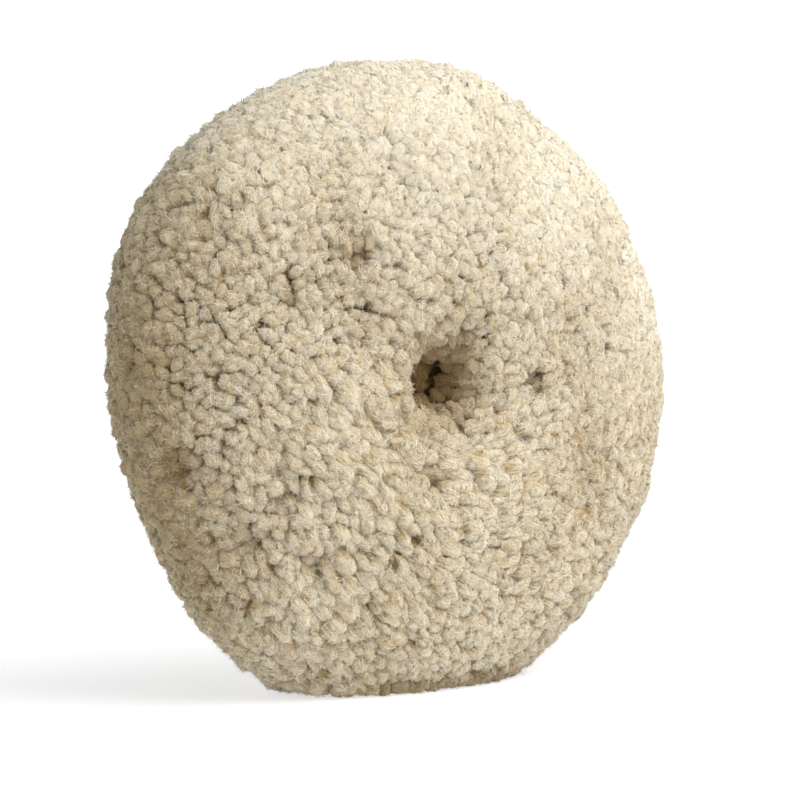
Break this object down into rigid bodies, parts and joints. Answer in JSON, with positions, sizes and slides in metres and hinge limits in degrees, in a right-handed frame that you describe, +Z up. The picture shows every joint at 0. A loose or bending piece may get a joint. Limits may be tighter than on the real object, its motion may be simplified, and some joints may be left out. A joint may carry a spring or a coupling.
{
  "type": "polishing pad",
  "caption": "Thick round tufted wool polishing pad with wool on both faces and over the rim, a central hub with a through bore, and a rim flattened where it stands.",
  "frame": {"origin": "under the middle of the pad, on the surface that its flattened rim stands on", "axes": "+Z up; the hub's axis runs along Y, and the front wool face looks along -Y"},
  "size_m": [0.229, 0.0636, 0.2215],
  "materials": {
    "wool": "cream natural wool yarn, undyed, matt",
    "tufting_cloth": "plain woven cloth",
    "latex": "dried natural latex",
    "stiffener_plastic": "plain sheet",
    "felt": "pressed grey felt",
    "tape": "woven cotton tape",
    "thread": "twisted sewing thread",
    "hub_plastic": "moulded black nylon",
    "plate_steel": "zinc-plated, dulled",
    "rivet_steel": "plated, rolled heads"
  },
  "bodies": {
    "root": {"front_wool_pile": "wool", "back_wool_pile": "wool", "front_tufting_cloth": "tufting_cloth", "back_tufting_cloth": "tufting_cloth", "front_latex_coat": "latex", "back_latex_coat": "latex", "front_stiffener_disc": "stiffener_plastic", "back_stiffener_disc": "stiffener_plastic", "felt_core": "felt", "rim_binding": "tape", "rim_seam_thread": "thread", "front_hub_thread": "thread", "back_hub_thread": "thread", "hub_sleeve": "hub_plastic", "front_hub_plate": "plate_steel", "back_hub_plate": "plate_steel", "hub_rivet_1": "rivet_steel", "hub_rivet_2": "rivet_steel", "hub_rivet_3": "rivet_steel", "hub_rivet_4": "rivet_steel", "hub_rivet_5": "rivet_steel", "hub_rivet_6": "rivet_steel"}
  },
  "joints": []
}
